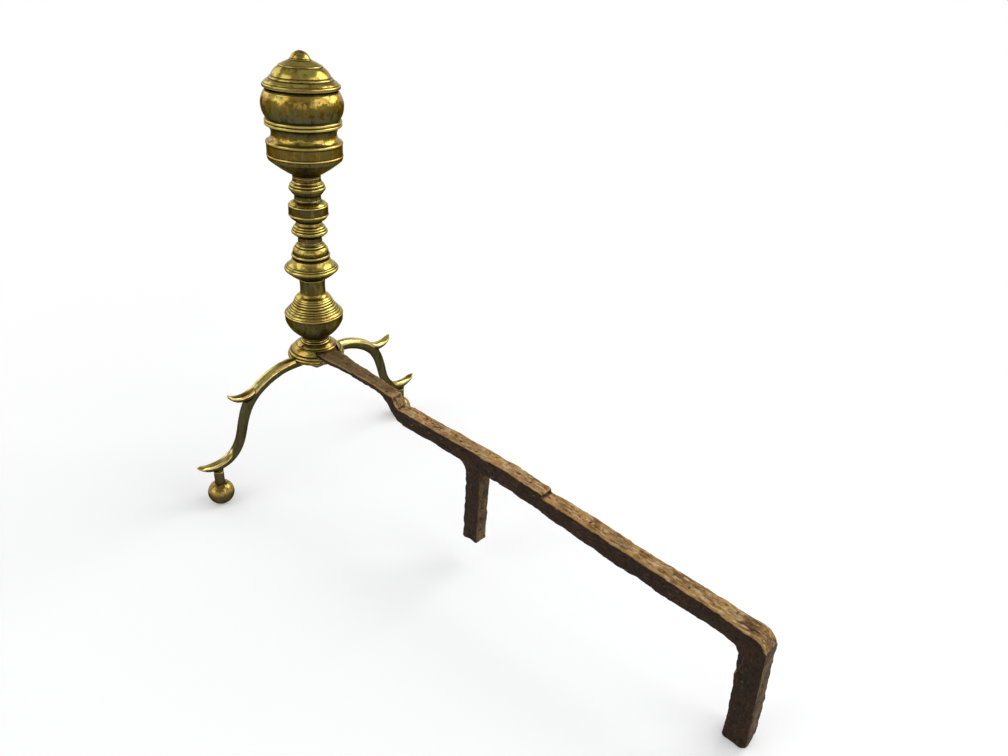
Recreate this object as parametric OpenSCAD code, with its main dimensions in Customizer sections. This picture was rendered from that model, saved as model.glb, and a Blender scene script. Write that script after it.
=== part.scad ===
// Andiron: a turned brass post on two cabriole legs, with a wrought iron billet bar behind it.
// The post's axis is upright. The legs spread along X, the bar runs back along +Y, and the
// hearth is the plane z = 0.

/* [Overall] */
// Distance between the centres of the two ball feet
foot_spread = 305; // [290:1:320]
// Height of the plinth's lower rim above the hearth
rim_z = 162; // [156:1:168]
// Distance from the post's axis to the back of the rear leg
reach = 650; // [620:1:680]

/* [Post heights] */
// Height of the stepped cone with the button on top
cap_h = 41; // [36:0.5:46]
// Height of the barrel under the cone
ball_h = 28.5; // [24:0.5:32]
// Height of the cup with the drum band and double bead
cup_h = 65.5; // [60:0.5:74]
// Height of the collar under the cup
upper_collar_h = 26; // [23:0.5:30]
// Height of the short drum knop
knop_h = 28; // [25:0.5:32]
// Height of the collar under the knop
lower_collar_h = 24; // [21:0.5:28]
// Height of the bell with the flared lip
bell_h = 48; // [44:0.5:54]
// Height of the waisted bowl above the plinth
bowl_h = 82; // [76:0.5:90]
// Height of the plinth
plinth_h = 24; // [23:0.5:28]

/* [Post radii] */
// Radius of the cone's rim
cap_r = 42.8; // [40:0.1:46]
// Greatest radius of the barrel
ball_r = 45.4; // [43:0.1:49]
// Radius of the drum band and beads on the cup
drum_r = 43.1; // [40:0.1:46]
// Radius of the upper collar
upper_collar_r = 21.3; // [20.4:0.1:24]
// Radius of the drum knop
knop_r = 23.7; // [22:0.1:27]
// Radius of the lower collar
lower_collar_r = 21.7; // [20:0.1:24]
// Radius of the bell's lip
bell_r = 32.7; // [31:0.1:37]
// Radius of the bowl at its edge
bowl_r = 36.2; // [34:0.1:40]
// Radius of the plinth's rim
plinth_r = 36.0; // [35.5:0.1:38]
// Radius of the narrow necks between the turnings
neck_r = 14.6; // [13.6:0.1:15.2]
// Radius of the waist over the bowl
waist_r = 15.6; // [15.4:0.1:17]

/* [Legs] */
// Diameter of a leg where it leaves the plinth
leg_d = 15.4; // [14.6:0.1:16]
// Diameter of a leg below its knee
shin_d = 13; // [12:0.1:14]
// Angle by which each leg is turned towards the front
leg_splay = 1.7; // [0:0.1:3]
// Length of the upper spur beyond the shin
upper_spur = 12.5; // [10:0.5:17]
// Length of the lower spur beyond the foot's axis
lower_spur = 26; // [21:0.5:30]
// Radius of a ball foot
foot_r = 16; // [14.5:0.1:17.5]
// Radius of the worn flat under a ball foot
foot_flat_r = 5.6; // [4:0.1:7]

/* [Iron bar] */
// Width of the bar
bar_w = 18; // [17:0.1:20]
// Depth of the bar behind the jog
bar_t = 18.5; // [16:0.1:20]
// Thickness of the flattened strap in front of the jog
strap_t = 6; // [5:0.1:7]
// Width of the pad inside the plinth
pad_w = 27; // [24:0.1:28]
// Distance from the post's axis to the middle of the jog
jog_y = 145; // [135:1:155]
// Drop of the bar's top at the jog
jog_drop = 14; // [11:0.5:18]
// Distance from the post's axis to the front of the middle leg
mid_leg_y = 280; // [265:1:295]
// Depth of the middle leg, front to back
mid_leg_t = 21; // [19:0.5:25]
// Height of the middle leg's foot above the hearth
mid_leg_clear = 28; // [20:1:40]
// Distance from the front of the middle leg to the lip of the lap weld
lap_run = 106; // [94:1:122]
// Depth of the rear leg, front to back
rear_leg_t = 25; // [21:0.5:27]
// Width of the rear leg at the hearth
rear_leg_w = 27; // [23:0.5:28]

/* [Hidden] */
$fn = 96;

// Fastening through the middle of the post
rod_r = 5;
rod_gap = 0.3;
bore_r = rod_r + rod_gap;
thread_gap = 0.05;
spigot_r = 8;
spigot_h = 3;
spigot_gap = 0.2;
washer_t = 2;
nut_h = 8;
nut_r = 9.2;
rod_tail = 4;
rod_in_cap = 15;
wall = 4.5;

// Heights of the joints between the turned pieces
plinth_top = rim_z + plinth_h;
bowl_top = plinth_top + bowl_h;
bell_top = bowl_top + bell_h;
lower_collar_top = bell_top + lower_collar_h;
knop_top = lower_collar_top + knop_h;
upper_collar_top = knop_top + upper_collar_h;
cup_top = upper_collar_top + cup_h;
ball_top = cup_top + ball_h;
post_top = ball_top + cap_h;
rod_top = ball_top + rod_in_cap;

// The stack clamped under the plinth: pad, two leg lugs, washer and nut
lug_t = 5;
lug_r = 13;
lug_z = rim_z - 1;
pad_z = lug_z + lug_t;
pad_top = pad_z + strap_t;
lower_lug_z = lug_z - lug_t;
washer_z = lower_lug_z - washer_t;
nut_z = washer_z - nut_h;
rod_foot = nut_z - rod_tail;

// Legs and feet
foot_x = foot_spread / 2;
knee_inset = 36;
arm_z = rim_z - 2;
arm_x = lug_r + 1.5;
shank_r = 6;
shank_top = 46;
foot_z = sqrt(foot_r * foot_r - foot_flat_r * foot_flat_r);
stud_r = 3;
stud_gap = 0.15;
stud_in_foot = 14;
stud_in_leg = 8;
spur_tip_t = 5;
spur_tip_w = 6;
sweep_sides = 16;

// Bar, seen from the side
bar_top = pad_top - jog_drop - 3;
bar_under = bar_top - bar_t;
rear_drop = 22;
rear_top = bar_top - rear_drop;
lap_y = mid_leg_y + lap_run;
weld_inset = 18;
lap_l = lap_run - weld_inset;
lap_lip = 3;
lip_drop = 4.5;
lip_slope_l = 44;
corner_r = 20;
plinth_slot_w = pad_w + 8;
plinth_slot_h = 15;

// The box around the whole andiron is centred on the origin along Y
post_y = (ball_r - reach) / 2;

BRASS = "#b8962e";
DARK_BRASS = "#8a6c20";
IRON = "#5a4334";

// ---------------------------------------------------------------- helpers

// Points on the circular arc from p to q that rises by sag to the right of its chord.
// Going up an outline, a positive sag swells outwards and a negative one is a cove.
function bow(p, q, sag, n = 8) =
    let (
        d = q - p,
        c = norm(d),
        u = d / c,
        v = [u[1], -u[0]],
        half = 2 * atan(2 * abs(sag) / c),
        r = c / (2 * sin(half)),
        side = sag < 0 ? -1 : 1
    )
    [for (i = [0:n])
        let (t = half * (2 * i / n - 1))
        (p + q) / 2 + u * r * sin(t) + v * side * r * (cos(t) - cos(half))];

// A half-round bead on an outline, from height z0 to z1 on radius r
function bead(r, z0, z1) = bow([r, z0], [r, z1], (z1 - z0) / 2 - 0.01, 8);

// A spherical cap on an outline, from its edge point p up to the axis at height z
function dome(p, z, n = 8) =
    let (
        h = z - p[1],
        r = (p[0] * p[0] + h * h) / (2 * h),
        edge = asin(p[0] / r)
    )
    [for (i = [0:n]) let (t = edge * (1 - i / n)) [r * sin(t), z - r + r * cos(t)]];

// A point on a smooth curve through the points P, at parameter t from 0 to len(P) - 1
function curve_at(P, t) =
    let (
        last = len(P) - 1,
        i = min(floor(t), last - 1),
        f = t - i,
        a = P[max(i - 1, 0)],
        b = P[i],
        c = P[i + 1],
        d = P[min(i + 2, last)]
    )
    0.5 * ((2 * b) + (c - a) * f + (2 * a - 5 * b + 4 * c - d) * f * f
        + (3 * b - a - 3 * c + d) * f * f * f);

// A solid of revolution from an outline of [radius, height] points, closed along the axis
module turning(outline) {
    low = outline[0];
    high = outline[len(outline) - 1];
    rotate_extrude() polygon(concat([[0, low[1]]], outline, [[0, high[1]]]));
}

// One turned piece of the post, with its base at height z. It has a spigot on top that
// registers the next piece, and a recess below for the spigot of the piece under it.
module post_piece(z, height, outline, spigot = true, recess = true) {
    translate([0, post_y, z]) difference() {
        union() {
            turning(outline);
            if (spigot) translate([0, 0, height - 1]) cylinder(r = spigot_r, h = spigot_h + 1);
        }
        translate([0, 0, -1]) cylinder(r = bore_r, h = height + spigot_h + 2);
        if (recess) translate([0, 0, -1]) cylinder(r = spigot_r + spigot_gap, h = spigot_h + 1.2);
        children();
    }
}

// A solid swept along a planar curve in the XZ plane. Each station is
// [x, z, thickness across the curve in its plane, width along Y].
module sweep(stations, steps) {
    last = len(stations) - 1;
    n = last * steps;
    S = [for (k = [0:n]) curve_at(stations, k / steps)];
    points = [for (k = [0:n], j = [0:sweep_sides - 1])
        let (
            ahead = S[min(k + 1, n)],
            behind = S[max(k - 1, 0)],
            run = [ahead[0] - behind[0], ahead[1] - behind[1]],
            u = run / norm(run),
            a = 360 * j / sweep_sides,
            across = cos(a) * S[k][2] / 2,
            along = sin(a) * S[k][3] / 2
        )
        [S[k][0] - u[1] * across, along, S[k][1] + u[0] * across]];
    sides = [for (k = [0:n - 1], j = [0:sweep_sides - 1])
        let (
            j1 = (j + 1) % sweep_sides,
            a = k * sweep_sides,
            b = a + sweep_sides
        )
        [a + j, a + j1, b + j1, b + j]];
    start = [for (j = [sweep_sides - 1:-1:0]) j];
    end = [for (j = [0:sweep_sides - 1]) n * sweep_sides + j];
    polyhedron(points = points, faces = concat(sides, [start], [end]), convexity = 6);
}

// ---------------------------------------------------------------- post

// Stepped cone with the button, hollow, tapped for the rod's upper end
module finial_cap() {
    low_ring_z = 0.36 * cap_h;
    low_ring_r = 0.775 * cap_r;
    top_ring_z = 0.65 * cap_h;
    top_ring_r = 0.545 * cap_r;
    button_z = 0.775 * cap_h;
    button_r = 0.275 * cap_r;
    outline = concat(
        bow([cap_r - 2.6, 0], [cap_r - 1.6, 3.4], -0.9),
        bow([cap_r - 0.7, 3.8], [cap_r - 0.9, 7.6], 0.7),
        bow([cap_r - 1.9, 8], [low_ring_r + 2.4, low_ring_z - 2.8], 0.7),
        bow([low_ring_r + 2, low_ring_z - 2.4], [low_ring_r + 0.4, low_ring_z], 0.5),
        bow([low_ring_r - 0.4, low_ring_z + 0.3], [top_ring_r + 1, top_ring_z - 1.6], 1.1),
        bow([top_ring_r + 0.7, top_ring_z - 1.4], [top_ring_r - 0.7, top_ring_z + 0.3], 0.5),
        bow([top_ring_r - 1.2, top_ring_z + 0.4], [button_r + 0.6, button_z - 0.2], 0.3),
        bow([button_r + 0.3, button_z], [button_r - 0.2, button_z + 1], 0.3),
        dome([button_r - 0.6, button_z + 1], cap_h)
    );
    color(BRASS) translate([0, post_y, ball_top]) difference() {
        turning(outline);
        translate([0, 0, -1]) cylinder(r = rod_r + thread_gap, h = rod_in_cap + 2);
        rotate_extrude() polygon([
            [2 * rod_r, -1],
            [cap_r - 10, -1],
            [cap_r - 10, 4],
            [2 * rod_r, 0.45 * cap_h]
        ]);
    }
}

// Barrel between the cone and the cup: a thin shell under a flat top
module finial_ball() {
    edge_r = ball_r - 4.4;
    color(BRASS) post_piece(cup_top, ball_h, bow([edge_r, 0], [edge_r, ball_h], ball_r - edge_r, 16),
        spigot = false, recess = false)
        translate([0, 0, -1]) cylinder(r = edge_r - wall, h = ball_h - wall + 1);
}

// Cup: shallow bowl, ring, drum band, lip, cavetto and double bead
module finial_cup() {
    stem_r = neck_r + 1.8;
    ring_z = 0.368 * cup_h;
    lip_z = 0.573 * cup_h;
    bead_z = 0.874 * cup_h;
    bead_h = (cup_h - bead_z - 0.8) / 2;
    bead_r = drum_r - bead_h / 2 - 0.1;
    outline = concat(
        [[stem_r, 0], [stem_r, 2.4]],
        bow([stem_r + 0.6, 2.6], [drum_r - 2.4, ring_z - 5], 0.7, 12),
        bow([drum_r - 1.6, ring_z - 4.4], [drum_r - 0.5, ring_z - 0.4], 0.4),
        bow([drum_r - 0.5, ring_z], [drum_r - 0.4, ring_z + 2], 0.5),
        [[drum_r - 0.6, ring_z + 2.3], [drum_r - 0.6, lip_z - 0.4]],
        bow([drum_r - 0.5, lip_z], [drum_r - 0.9, lip_z + 3.4], 0.8),
        bow([drum_r - 1.8, lip_z + 3.8], [drum_r - 2.6, bead_z - 0.6], -4.4, 12),
        bead(bead_r, bead_z, bead_z + bead_h),
        bead(bead_r, bead_z + bead_h, bead_z + 2 * bead_h),
        [[drum_r - 2, cup_h - 0.5], [drum_r - 2, cup_h]]
    );
    hollow_r = drum_r - wall - 6;
    hollow_z = 14;
    color(BRASS) post_piece(upper_collar_top, cup_h, outline, spigot = false)
        rotate_extrude() polygon([
            [0, cup_h + 1],
            [hollow_r, cup_h + 1],
            [hollow_r, ring_z + 2],
            [1.4 * neck_r, hollow_z],
            [0, hollow_z]
        ]);
}

// Collar of a round edge and a smaller ring, between two necks
module upper_collar() {
    edge_z = 0.42 * upper_collar_h;
    ring_z = 0.58 * upper_collar_h;
    top_z = 0.82 * upper_collar_h;
    stem_r = neck_r + 1.1;
    outline = concat(
        bow([stem_r, 0], [stem_r, 0.17 * upper_collar_h], -0.2),
        bow([stem_r + 0.4, 0.19 * upper_collar_h], [upper_collar_r - 1, edge_z - 0.5], 0.2),
        bow([upper_collar_r - 0.5, edge_z], [upper_collar_r - 0.7, ring_z - 0.5], 0.6),
        bow([upper_collar_r - 1.5, ring_z], [upper_collar_r - 2, ring_z + 3], 0.6),
        bow([upper_collar_r - 2.6, ring_z + 3.4], [stem_r + 1.5, top_z - 0.3], -0.3),
        bow([stem_r + 1, top_z], [stem_r + 0.7, upper_collar_h], -0.2)
    );
    color(BRASS) post_piece(knop_top, upper_collar_h, outline);
}

// Short drum between two beads, with a rounded shoulder
module knop_drum() {
    low_bead_z = 0.29 * knop_h;
    top_bead_z = 0.7 * knop_h;
    shoulder_z = 0.78 * knop_h;
    stem_r = neck_r + 0.9;
    outline = concat(
        bow([stem_r, 0], [stem_r, 0.06 * knop_h], -0.1),
        bow([stem_r + 0.7, 0.08 * knop_h], [knop_r - 1.2, low_bead_z - 0.5], 1.1),
        bow([knop_r - 0.6, low_bead_z], [knop_r - 0.6, low_bead_z + 2.6], 0.6),
        [[knop_r - 0.5, low_bead_z + 3.1], [knop_r - 0.5, top_bead_z - 0.5]],
        bow([knop_r - 0.6, top_bead_z], [knop_r - 1, shoulder_z - 0.4], 0.5),
        bow([knop_r - 1.8, shoulder_z], [stem_r + 1.6, 0.9 * knop_h], 0.5),
        bow([stem_r + 1.1, 0.91 * knop_h], [stem_r + 0.2, knop_h], -0.3)
    );
    color(BRASS) post_piece(lower_collar_top, knop_h, outline);
}

// Collar with a round edge and two smaller rings above it, between two slim necks
module lower_collar() {
    edge_z = 0.47 * lower_collar_h;
    ring_z = 0.62 * lower_collar_h;
    top_z = 0.73 * lower_collar_h;
    neck_z = 0.86 * lower_collar_h;
    outline = concat(
        bow([neck_r, 0], [neck_r, 0.25 * lower_collar_h], -0.3),
        bow([neck_r + 0.6, 0.27 * lower_collar_h], [lower_collar_r - 0.7, edge_z - 0.3], 0.3),
        bow([lower_collar_r - 0.4, edge_z], [lower_collar_r - 0.9, ring_z - 0.5], 0.5),
        bow([lower_collar_r - 1.8, ring_z], [lower_collar_r - 2.4, top_z - 0.5], 0.4),
        bow([lower_collar_r - 3.1, top_z], [lower_collar_r - 4.6, neck_z - 0.5], 0.4),
        bow([lower_collar_r - 5.3, neck_z], [neck_r + 0.8, lower_collar_h], -0.2)
    );
    color(BRASS) post_piece(bell_top, lower_collar_h, outline);
}

// Bell: hollow lip, flared skirt, a ridge over a groove, and a stepped shoulder
module bell_flare() {
    lip_z = 0.24 * bell_h;
    lip_h = 4.6;
    skirt_z = lip_z + lip_h + 0.4;
    ridge_z = 0.61 * bell_h;
    ridge_h = 3.2;
    ridge_r = 0.7 * bell_r;
    step_z = 0.87 * bell_h;
    outline = concat(
        bow([waist_r + 1.2, 0], [bell_r - 1.6, lip_z - 0.4], 0.6),
        bow([bell_r - 1.1, lip_z], [bell_r - 1.2, lip_z + lip_h], 1.1, 10),
        bow([bell_r - 2.2, skirt_z], [bell_r - 3.2, skirt_z + 1.6], 0.4),
        bow([bell_r - 4, skirt_z + 1.8], [ridge_r + 0.4, ridge_z - 3.4], -0.7, 10),
        bow([ridge_r - 0.8, ridge_z - 3], [ridge_r - 0.6, ridge_z - 0.4], -0.4),
        bow([ridge_r - 0.2, ridge_z], [ridge_r - 0.3, ridge_z + ridge_h], 0.7),
        bow([ridge_r - 1.6, ridge_z + ridge_h + 0.3], [neck_r + 4.3, step_z - 0.3], 1.1, 10),
        bow([neck_r + 3, step_z], [neck_r + 1.8, step_z + 2.6], 0.8),
        bow([neck_r + 1.4, step_z + 3], [neck_r, bell_h], -0.5)
    );
    color(BRASS) post_piece(bowl_top, bell_h, outline)
        rotate_extrude() polygon([
            [0, 8],
            [waist_r - wall, 8],
            [bell_r - wall - 7, lip_z + 2],
            [ridge_r - wall - 3, ridge_z],
            [0, ridge_z + 4]
        ]);
}

// Bowl with a sharp edge, a shoulder of fine steps and a waist above
module vase_bowl() {
    stem_r = waist_r + 0.7;
    edge_z = 0.41 * bowl_h;
    step_in = bowl_r * [0.03, 0.108, 0.177, 0.224, 0.287, 0.329, 0.362, 0.398];
    step_up = bowl_h * [0.044, 0.083, 0.116, 0.139, 0.173, 0.207, 0.244, 0.277];
    last = len(step_in) - 1;
    steps = [for (i = [0:last - 1])
        let (
            low = [bowl_r - step_in[i], edge_z + step_up[i]],
            high = [bowl_r - step_in[i + 1] + 0.5, edge_z + step_up[i + 1] - 0.4]
        )
        each bow(low, high, 0.4, 4)];
    swell_r = bowl_r - step_in[last];
    swell_z = edge_z + step_up[last];
    waist_z = 0.79 * bowl_h;
    outline = concat(
        [[stem_r, 0], [stem_r, 3.6]],
        bow([stem_r + 0.5, 4.2], [bowl_r - 0.8, edge_z - 8], 2.5, 12),
        bow([bowl_r - 0.7, edge_z - 7.6], [bowl_r - 0.2, edge_z], 0.2),
        bow([bowl_r, edge_z + 0.4], [bowl_r - 0.2, edge_z + 3.2], 0.3),
        steps,
        bow([swell_r, swell_z], [swell_r - 2.2, swell_z + 2.5], 0.4),
        bow([swell_r - 2.6, swell_z + 2.8], [waist_r, waist_z], -1),
        bow([waist_r, waist_z + 0.8], [waist_r + 0.2, bowl_h - 3], -0.3),
        [[waist_r + 1, bowl_h]]
    );
    color(BRASS) post_piece(plinth_top, bowl_h, outline)
        rotate_extrude() polygon([
            [0, 11],
            [waist_r - wall, 11],
            [bowl_r - wall - 7, edge_z - 4],
            [bowl_r - wall - 6, edge_z + 2],
            [waist_r - wall, swell_z],
            [0, swell_z]
        ]);
}

// Plinth: stepped dome, hollow below round a central boss that bears on the bar's pad. Its
// skirt is notched over each leg and cut away at the back for the bar.
module plinth() {
    inner_top = plinth_h - 8;
    stem_r = waist_r + 0.7;
    dome_top = 0.68 * plinth_h;
    ring_z = 0.87 * plinth_h;
    ring_r = 0.517 * plinth_r;
    neck_z = 0.94 * plinth_h;
    outline = concat(
        bow([plinth_r - 0.4, 0], [plinth_r - 0.9, 4.6], 0.5),
        bow([plinth_r - 1.7, 5], [plinth_r - 2.9, 8.4], 0.5),
        bow([plinth_r - 5, 8.8], [plinth_r - 10.4, dome_top - 0.4], 0.7),
        bow([plinth_r - 11.4, dome_top], [ring_r + 0.4, ring_z - 0.3], 0.4),
        bow([ring_r, ring_z], [ring_r - 0.4, neck_z - 0.5], 0.3),
        bow([ring_r - 1, neck_z], [stem_r, plinth_h], -0.4)
    );
    color(BRASS) post_piece(rim_z, plinth_h, outline, recess = false) {
        rotate_extrude() polygon([
            [lug_r + 1.5, -1],
            [plinth_r - 4, -1],
            [plinth_r - 9, 8],
            [lug_r + 4, inner_top - 3],
            [lug_r + 1.5, inner_top - 3]
        ]);
        translate([0, 0, -1]) cylinder(r = lug_r + 2, h = pad_top - rim_z + 1);
        translate([-plinth_slot_w / 2, 0, -1]) cube([plinth_slot_w, plinth_r + 1, plinth_slot_h + 1]);
        for (side = [-1, 1]) {
            rotate([0, 0, -side * leg_splay]) translate([0, 0, arm_z - rim_z])
                rotate([0, side * 90, 0]) cylinder(r = leg_d / 2 + 0.4, h = plinth_r + 2);
        }
    }
}

// ---------------------------------------------------------------- fastening

// Iron rod that holds the whole post together, from below the nut up into the cone
module tie_rod() {
    tip = 1.5;
    color(IRON) translate([0, post_y, rod_foot]) rotate_extrude() polygon([
        [0, 0],
        [rod_r - tip, 0],
        [rod_r, tip],
        [rod_r, rod_top - rod_foot - tip],
        [rod_r - tip, rod_top - rod_foot],
        [0, rod_top - rod_foot]
    ]);
}

// Washer under the lower leg lug
module rod_washer() {
    color(IRON) translate([0, post_y, washer_z]) difference() {
        cylinder(r = lug_r - 1, h = washer_t);
        translate([0, 0, -1]) cylinder(r = bore_r, h = washer_t + 2);
    }
}

// Square nut, chamfered on its lower face, that draws the stack together
module rod_nut() {
    color(IRON) translate([0, post_y, nut_z]) difference() {
        intersection() {
            translate([-nut_r, -nut_r, 0]) cube([2 * nut_r, 2 * nut_r, nut_h]);
            rotate_extrude() polygon([
                [0, 0],
                [nut_r, 0],
                [1.3 * nut_r, 2.2],
                [1.3 * nut_r, nut_h],
                [0, nut_h]
            ]);
        }
        translate([0, 0, -1]) cylinder(r = rod_r + thread_gap, h = nut_h + 2);
    }
}

// ---------------------------------------------------------------- legs and feet

// A cabriole leg along +X: lug, arch, shin and two spurs, bored for the rod and the foot's stud
module leg(this_lug_z) {
    knee_x = foot_x - knee_inset;
    spur_x = knee_x + upper_spur;
    tip_x = foot_x + lower_spur;
    shin = [
        [arm_x, arm_z, leg_d, leg_d],
        [30, arm_z, leg_d, leg_d],
        [0.33 * foot_x, arm_z - 1.4, leg_d, leg_d],
        [0.45 * foot_x, 0.955 * arm_z, leg_d, leg_d],
        [0.56 * foot_x, 0.897 * arm_z, leg_d - 0.3, leg_d - 0.3],
        [0.64 * foot_x, 0.829 * arm_z, leg_d - 0.8, leg_d - 0.8],
        [0.697 * foot_x, 0.747 * arm_z, shin_d + 0.8, shin_d + 0.8],
        [0.737 * foot_x, 0.643 * arm_z, shin_d, shin_d],
        [0.76 * foot_x, 0.56 * arm_z, shin_d - 0.4, shin_d - 0.4],
        [0.786 * foot_x, 0.487 * arm_z, shin_d - 0.4, shin_d - 0.4],
        [0.828 * foot_x, 0.42 * arm_z, shin_d - 0.2, shin_d - 0.4],
        [0.89 * foot_x, 0.37 * arm_z, shin_d, shin_d - 0.2],
        [0.956 * foot_x, 0.347 * arm_z, shin_d, shin_d],
        [foot_x + 3, 0.343 * arm_z, shin_d - 1.2, shin_d],
        [foot_x + 0.5 * lower_spur, 0.354 * arm_z, 9, shin_d - 1],
        [foot_x + 0.82 * lower_spur, 0.376 * arm_z, spur_tip_t, 0.8 * shin_d],
        [tip_x, 0.391 * arm_z, 1.6, spur_tip_w - 2]
    ];
    spur = [
        [0.545 * foot_x, 0.916 * arm_z, 8, 8],
        [0.648 * foot_x, 0.864 * arm_z, 11, leg_d - 2],
        [knee_x - 8, 0.853 * arm_z, 10.5, leg_d - 2],
        [knee_x + 1, 0.861 * arm_z, 8.5, leg_d - 3],
        [knee_x + 0.68 * upper_spur, 0.887 * arm_z, spur_tip_t, 0.66 * leg_d],
        [spur_x, 0.915 * arm_z, 1.6, spur_tip_w - 2]
    ];
    color(BRASS) difference() {
        union() {
            sweep(shin, 3);
            sweep(spur, 4);
            translate([0, 0, this_lug_z]) cylinder(r = lug_r, h = lug_t);
            translate([0, -lug_r / 2, this_lug_z]) cube([arm_x + 3, lug_r, lug_t]);
            translate([foot_x, 0, shank_top]) cylinder(r = shank_r, h = 9);
        }
        translate([0, 0, this_lug_z - 1]) cylinder(r = bore_r, h = lug_t + 2);
        translate([foot_x, 0, shank_top - 1]) cylinder(r = stud_r + stud_gap, h = stud_in_leg + 1.5);
    }
}

// Places a child built for the right leg on the right or, turned round, on the left
module on_side(side) {
    translate([0, post_y, 0]) mirror([side > 0 ? 0 : 1, 0, 0]) rotate([0, 0, -leg_splay]) children();
}

// Leg towards +X, its lug uppermost
module leg_right() {
    on_side(1) leg(lug_z);
}

// Leg towards -X, its lug below the other
module leg_left() {
    on_side(-1) leg(lower_lug_z);
}

// Turned foot: ball with a worn flat, and a short shank drilled for its stud
module foot() {
    ball_top_z = foot_z + foot_r;
    color(DARK_BRASS) translate([foot_x, 0, 0]) difference() {
        union() {
            translate([0, 0, foot_z]) sphere(r = foot_r);
            translate([0, 0, foot_z]) cylinder(r = shank_r, h = shank_top - foot_z);
        }
        translate([-foot_r, -foot_r, -foot_r]) cube([2 * foot_r, 2 * foot_r, foot_r]);
        translate([0, 0, shank_top - stud_in_foot - 0.5])
            cylinder(r = stud_r + stud_gap, h = stud_in_foot + 2);
    }
}

// Ball foot under the right leg
module foot_right() {
    on_side(1) foot();
}

// Ball foot under the left leg
module foot_left() {
    on_side(-1) foot();
}

// The two iron studs that hold the feet to the legs
module foot_studs() {
    color(IRON) for (side = [-1, 1]) {
        on_side(side) translate([foot_x, 0, shank_top - stud_in_foot])
            cylinder(r = stud_r, h = stud_in_foot + stud_in_leg);
    }
}

// ---------------------------------------------------------------- iron bar

// Extrudes an outline of [y, z] points across X, to the given width
module side_plate(outline, width) {
    translate([0, post_y, 0]) rotate([90, 0, 90]) translate([0, 0, -width / 2])
        linear_extrude(height = width) polygon(outline);
}

// Extrudes a plan outline, given as [y, half width] points on one side of the bar
module plan_plate(half_outline, low, high) {
    right = [for (p = half_outline) [p[1], p[0]]];
    left = [for (i = [len(half_outline) - 1:-1:0]) [-half_outline[i][1], half_outline[i][0]]];
    translate([0, post_y, low]) linear_extrude(height = high - low) polygon(concat(right, left));
}

// Ends of the slanted weld between the two lengths of the bar
weld_front = [lap_y - lap_l, bar_under - 3];
weld_back = [lap_y, bar_top - lip_drop - lap_lip];

// Front length of the bar: pad with an eye for the rod, strap, jog and bar to the lap weld
module bar_front() {
    jog_l = 34;
    jog_middle = [jog_y + 0.15 * jog_l, (pad_z + bar_under) / 2];
    eye_r = pad_w / 2;
    lip_edge = 3;
    side = concat(
        [[-eye_r - 1, pad_z], [0.55 * jog_y, pad_z]],
        bow([jog_y - 0.3 * jog_l, pad_z - 4.8], jog_middle, -1.2),
        bow(jog_middle + [0.3, -0.3], [jog_y + 0.6 * jog_l, bar_under + 0.2], 2),
        [[jog_y + 1.3 * jog_l, bar_under], [lap_y - 1.07 * lap_l, bar_under - 1.4]],
        [weld_front, weld_back],
        [[lap_y, weld_back[1] + lap_lip]],
        bow([lap_y - lip_edge, bar_top - 0.75 * lip_drop], [lap_y - lip_slope_l, bar_top], -0.6, 4),
        [[jog_y + jog_l, bar_top]],
        bow([jog_y + 0.6 * jog_l, bar_top - 1], [jog_y + 0.29 * jog_l, pad_top - 5.2], -1, 6),
        [[jog_y - 0.3 * jog_l, pad_top - 3.8], [jog_y - jog_l, pad_top - 1.4]],
        [[0.5 * jog_y, pad_top], [-eye_r - 1, pad_top]]
    );
    plan = [
        [0, eye_r],
        [48, eye_r],
        [62, 0.43 * pad_w],
        [80, 0.58 * bar_w],
        [jog_y - 0.74 * jog_l, 0.48 * bar_w],
        [jog_y, 0.46 * bar_w],
        [jog_y + 0.9 * jog_l, bar_w / 2],
        [lap_y + 1, bar_w / 2]
    ];
    color(IRON) difference() {
        intersection() {
            side_plate(side, pad_w + 2);
            union() {
                plan_plate(plan, 0, post_top);
                translate([0, post_y, 0]) cylinder(r = eye_r, h = post_top);
            }
        }
        translate([0, post_y, 0]) cylinder(r = bore_r, h = post_top);
    }
}

// Rear length of the bar: lapped under the front length, bent down into the rear leg
module bar_rear() {
    span = reach - lap_y;
    leg_front = reach - rear_leg_t;
    lean = 8.5;
    bend_y = leg_front - lean;
    heel = 5;
    shin_z = 50;
    rear_under = rear_top - bar_t;
    step_z = weld_back[1] - 0.2;
    side = concat(
        [weld_front, [lap_y - 0.45 * lap_l, bar_under - heel]],
        [[lap_y + 0.3 * span, rear_under + 0.33 * bar_t], [bend_y - 6, rear_under - 2.5]],
        bow([bend_y - 3, rear_under - 3.6], [bend_y, rear_under - 8], 0.8, 4),
        [[leg_front - 3, shin_z], [leg_front, 3], [leg_front + 2, 0]],
        [[reach - heel, 0], [reach, heel - 1]],
        [[reach - 4, shin_z], [reach - lean, rear_top - corner_r - 3]],
        bow([reach - lean - 0.6, rear_top - corner_r], [reach - lean - corner_r, rear_top - 1.4], 7, 8),
        [[reach - 0.18 * span, rear_top + 0.6], [reach - 0.42 * span, rear_top + 0.24 * bar_t]],
        [[lap_y + 0.33 * span, rear_top + 0.5 * bar_t], [lap_y + 0.12 * span, step_z - 1.4]],
        [weld_back]
    );
    plan = [
        [lap_y - lap_l - 1, bar_w / 2],
        [lap_y + 2, bar_w / 2],
        [lap_y + 0.1 * span, 0.53 * bar_w],
        [leg_front - 0.15 * span, 0.56 * bar_w],
        [leg_front + 2, 0.45 * rear_leg_w],
        [reach - 7, 0.47 * rear_leg_w],
        [reach + 1, rear_leg_w / 2]
    ];
    color(IRON) intersection() {
        side_plate(side, rear_leg_w + 2);
        plan_plate(plan, -1, post_top);
    }
}

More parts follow.
